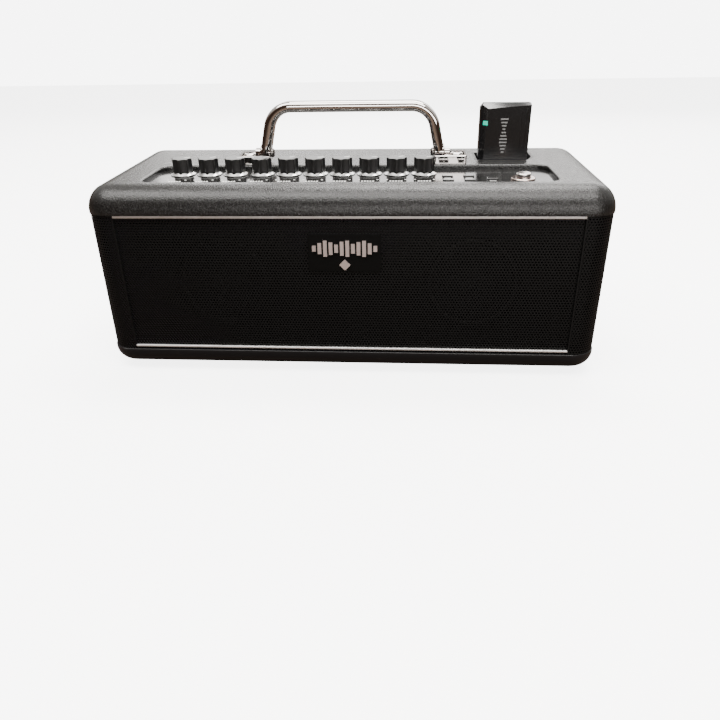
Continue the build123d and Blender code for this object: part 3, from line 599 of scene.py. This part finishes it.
def make_grille(finishes):
    """The front sheet in two halves, and the two side sheets with their creases."""
    steel = finishes["grille_steel"]
    height = (GRILLE_LOW, GRILLE_HIGH)
    half = GRILLE_HALF - SHEET
    for name, x in (("grille_front_left", (-half, 0.0)), ("grille_front_right", (0.0, half))):
        sheet = punched_sheet(x, height)
        settle(Matrix.Translation((0, GRILLE_FACE * MM, 0)))
        thicken(sheet)
        hand_over(sheet, name, steel, smooth=False)
    reach = SIDE_HALF - SIDE_TURN - GRILLE_HALF + SIDE_TURN * pi / 2 + SIDE_END - SIDE_FACE - SIDE_TURN
    for name, side in (("grille_side_left", -1), ("grille_side_right", 1)):
        sheet = punched_sheet((0, reach), height)
        path = side_path()
        follow = sheet.modifiers.new("follow", "CURVE")
        follow.object = path
        follow.deform_axis = "POS_X"
        clear_selection()
        sheet.select_set(True)
        bpy.context.view_layer.objects.active = sheet
        apply_all(sheet)
        bpy.data.objects.remove(path)
        thicken(sheet)
        crease = soft_bar((half, GRILLE_HALF), (SIDE_FACE + 0.1, GRILLE_FACE + SHEET), height, 0.25)
        sheet = join([sheet, crease])
        if side < 0:
            settle(Matrix.Diagonal((-1, 1, 1, 1)))
            edit_all()
            bpy.ops.mesh.flip_normals()
            bpy.ops.object.mode_set(mode="OBJECT")
        hand_over(sheet, name, steel, smooth=False)
        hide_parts("front_grille")


# ---------------------------------------------------------------- marks and pointers
def make_pointers(ink):
    """A white line let into each knob's top, each knob turned its own way."""
    for number, name in enumerate(KNOBS):
        mark = soft_bar((-0.55, 0.55), (1.8, 6.2), (CAP_TOP - 0.3, CAP_TOP + 0.03), 0.12, 1)
        turn = Matrix.Rotation(radians(KNOB_TURNS[number]), 4, "Z")
        settle(DECK @ Matrix.Translation((knob_x(number) * MM, KNOB_ROW * MM, 0)) @ turn)
        hand_over(mark, f"{name}_pointer", ink, body=f"{name}_control")


def make_panel_marks(ink):
    """Plain printed marks: dots and a short row of dashes before each knob, and small ones by the keys."""
    low, high = PANEL - 0.02, PANEL + 0.05
    marks = []
    for number in range(len(KNOBS)):
        x = knob_x(number)
        for side in (-1, 1):
            marks.append(soft_disc((x + side * 6.4, -35.4, PANEL + 0.02), 0.75, 0.06, 0.01, 10))
        for dash in range(5):
            left = x - 4.6 + 1.9 * dash
            marks.append(soft_bar((left, left + 1.25), MARK_ROW, (low, high), 0.01, 1))
    for x, y in KEYS:
        marks.append(soft_bar((x - 2.2, x + 2.2), (y - 4.6, y - 3.9), (low, high), 0.01, 1))
        marks.append(soft_disc((x, y + 3.8, PANEL + 0.02), 0.5, 0.08, 0.01, 12))
    whole = join(marks)
    settle(DECK)
    hand_over(whole, "panel_marks", ink)


def make_sender_marks(ink):
    """A column of plain bars of stepped lengths, printed up the transmitter's front."""
    marks = []
    for number, width in enumerate((2.0, 3.2, 4.4, 5.4, 5.4, 4.4, 3.2, 2.0, 3.2, 4.4, 5.4)):
        low = 142.5 + 2.3 * number
        across = (SENDER_MIDDLE - width / 2, SENDER_MIDDLE + width / 2)
        marks.append(soft_bar(across, (SENDER_FACE - 0.04, SENDER_FACE + 0.03), (low, low + 1.0), 0.01, 1))
    whole = join(marks)
    settle()
    hand_over(whole, "transmitter_marks", ink, body="transmitter")


def make_sender_ridges(finishes):
    """Two fine ridges up the transmitter's front, beside its right edge."""
    depth = (SENDER_FACE - 0.3, SENDER_FACE + 0.08)
    whole = join([soft_bar((x, x + 0.6), depth, (131.5, 173.5), 0.06, 1) for x in (123.4, 126.6)])
    plastic = finishes["sender_plastic"]
    hand_over(whole, "transmitter_ridges", plastic, body="transmitter")


def make_rear_marks(ink):
    """A short plain bar with a dot over each socket on the back."""
    marks = []
    for x in SOCKETS:
        marks.append(soft_bar((x - 3.0, x + 3.0), (REAR - 0.1, REAR + 0.05), (88.0, 88.9), 0.01, 1))
        marks.append(soft_bar((x - 0.5, x + 0.5), (REAR - 0.1, REAR + 0.05), (90.4, 91.3), 0.01, 1))
    hand_over(join(marks), "rear_marks", ink)


for maker in (pebble_group, tone_group, smudge_group, dust_group, brushed_group):
    group = maker()
    GROUPS[group.name] = group
set_camera()
set_light()
set_floor()
finishes = make_finishes()
white_ink = finish("white printing ink", (0.80, 0.80, 0.78), 0.5, tone=0.05)
grey_ink = finish("grey printing ink", (0.20, 0.20, 0.20), 0.5, tone=0.05)
dress_nodes(finishes)
make_grille(finishes)
make_pointers(white_ink)
make_panel_marks(white_ink)
make_sender_marks(grey_ink)
make_sender_ridges(finishes)
make_rear_marks(grey_ink)
